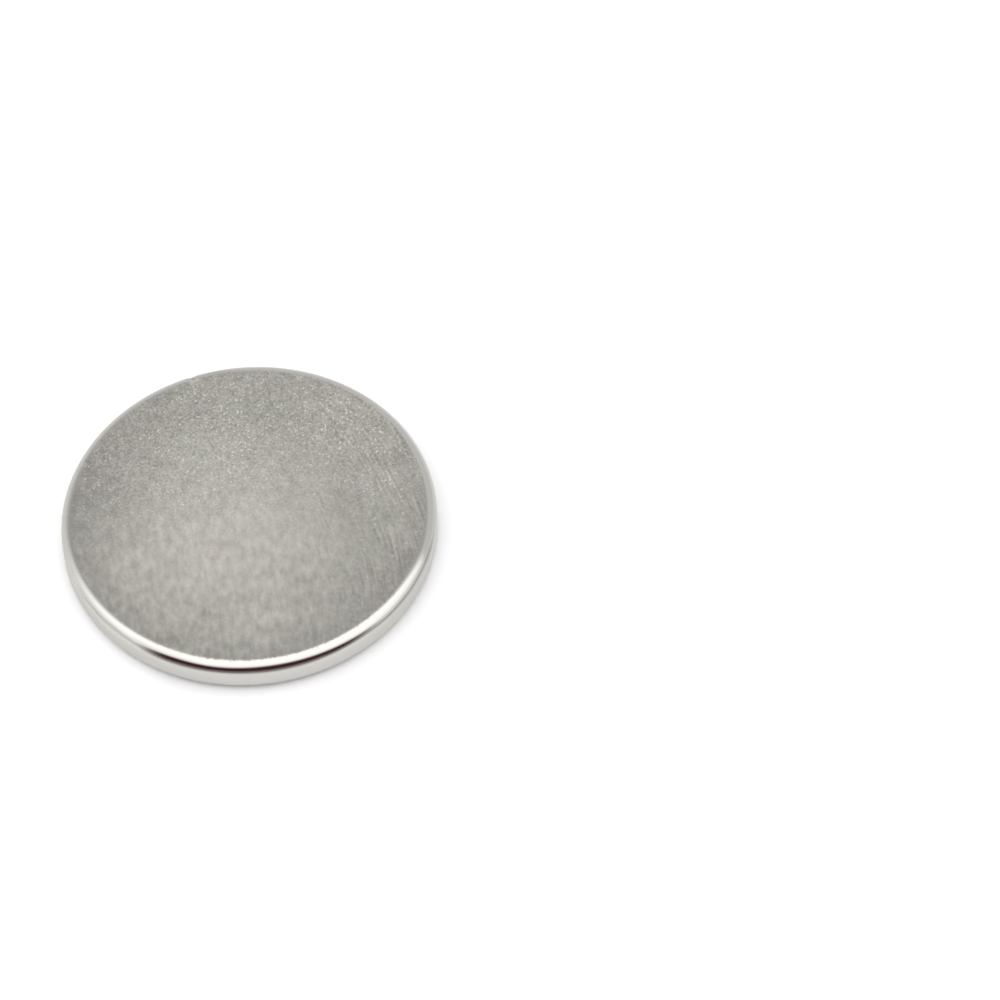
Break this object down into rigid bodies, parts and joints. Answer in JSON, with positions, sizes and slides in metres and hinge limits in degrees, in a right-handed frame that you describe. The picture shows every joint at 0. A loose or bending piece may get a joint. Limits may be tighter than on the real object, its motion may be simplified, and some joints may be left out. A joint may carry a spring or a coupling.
{
  "type": "disc magnet",
  "caption": "Flat round disc magnet with two plain pole faces, a short straight side wall and rounded edges, in satin nickel plating.",
  "frame": {"origin": "centre of the lower pole face, which is the face the disc rests on", "axes": "+Z along the disc's axis, from the lower pole face to the upper one; X and Y lie in the lower pole face"},
  "size_m": [0.02, 0.02, 0.002],
  "materials": {
    "nickel_plating": "satin nickel plating with a fine sintered grain on the pole faces, glossier on the rounded edges and the side wall"
  },
  "bodies": {
    "root": {"magnet_disc": "nickel_plating"}
  },
  "joints": []
}
